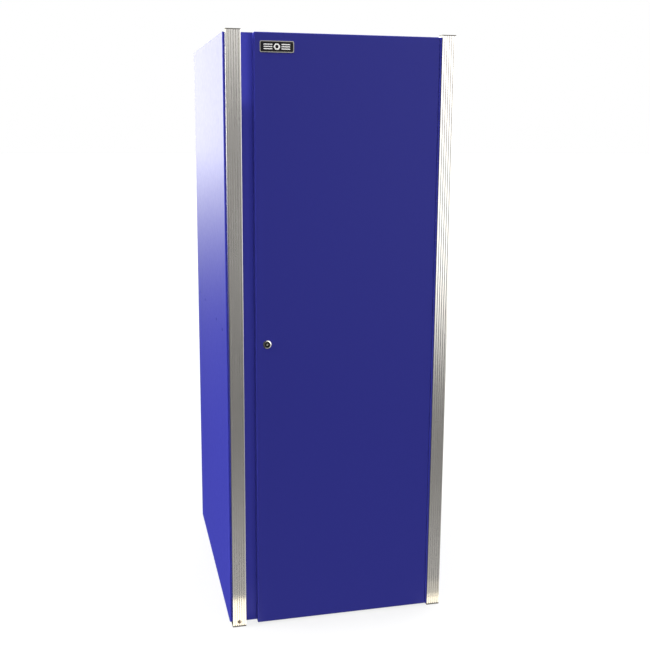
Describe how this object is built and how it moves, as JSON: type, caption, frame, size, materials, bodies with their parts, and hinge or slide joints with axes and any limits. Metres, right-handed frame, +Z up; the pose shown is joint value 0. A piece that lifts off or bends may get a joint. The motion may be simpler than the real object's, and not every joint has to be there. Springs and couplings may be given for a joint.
{
  "type": "locker cabinet",
  "caption": "Tall steel side locker with one full-height hinged door, fluted aluminium corner trims, key lock and adjustable inner shelves.",
  "frame": {"origin": "on the floor, at the centre of the footprint including the lock ring in front and the screw heads behind", "axes": "+Z up, the door faces -Y, +X to the right of a person facing the door, so the lock is at -X and the hinge at +X"},
  "size_m": [0.474, 0.6234, 1.2445],
  "materials": {
    "blue_paint": "gloss powder coat",
    "trim_aluminium": "brushed satin",
    "trim_cap": "satin",
    "zinc_steel": "zinc plated",
    "screw_steel": "zinc plated",
    "lock_chrome": "polished",
    "lock_plug_metal": "satin",
    "badge_black": "gloss",
    "badge_rim": "polished",
    "badge_emblem": "satin",
    "catch_plastic": "matte",
    "magnet": "matte",
    "bumper_rubber": "matte"
  },
  "bodies": {
    "cabinet": {"left_side_panel": "blue_paint", "right_side_panel": "blue_paint", "top_panel": "blue_paint", "bottom_panel": "blue_paint", "back_panel": "blue_paint", "back_panel_screws": "zinc_steel", "top_rail": "blue_paint", "bottom_rail": "blue_paint", "trim_screw": "screw_steel", "hinge_frame_leaf": "blue_paint", "hinge_pin": "zinc_steel", "catch_screws": "zinc_steel", "door_bumpers": "bumper_rubber", "left_trim": "trim_aluminium", "left_trim_bottom_cap": "trim_cap", "left_trim_bottom_bracket": "zinc_steel", "left_trim_top_cap": "trim_cap", "left_trim_top_bracket": "zinc_steel", "front_left_shelf_standard": "zinc_steel", "rear_left_shelf_standard": "zinc_steel", "right_trim": "trim_aluminium", "right_trim_bottom_cap": "trim_cap", "right_trim_bottom_bracket": "zinc_steel", "right_trim_top_cap": "trim_cap", "right_trim_top_bracket": "zinc_steel", "front_right_shelf_standard": "zinc_steel", "rear_right_shelf_standard": "zinc_steel", "lower_shelf": "blue_paint", "lower_shelf_clips": "zinc_steel", "middle_shelf": "blue_paint", "middle_shelf_clips": "zinc_steel", "upper_shelf": "blue_paint", "upper_shelf_clips": "zinc_steel", "lower_catch": "catch_plastic", "lower_catch_magnet": "magnet", "upper_catch": "catch_plastic", "upper_catch_magnet": "magnet"},
    "door": {"door_skin": "blue_paint", "door_inner_panel": "blue_paint", "door_stiffener": "blue_paint", "hinge_door_leaf": "blue_paint", "hinge_rivets": "zinc_steel", "badge_rim": "badge_rim", "badge_plate": "badge_black", "badge_emblem": "badge_emblem", "lock_housing": "lock_chrome", "lock_nut": "zinc_steel", "lower_strike": "zinc_steel", "upper_strike": "zinc_steel"},
    "lock_cylinder": {"lock_plug": "lock_plug_metal", "lock_cam": "zinc_steel", "cam_screw": "zinc_steel"}
  },
  "joints": [
    {"name": "door_hinge", "type": "hinge", "parent": "cabinet", "child": "door", "pos_m": [0.20214, -0.3079, 0.622], "axis": [0, 0, 1], "range_deg": [0, 110]},
    {"name": "lock_turn", "type": "hinge", "parent": "door", "child": "lock_cylinder", "pos_m": [-0.15624, -0.3089, 0.621], "axis": [0, 1, 0], "range_deg": [0, 90]}
  ]
}
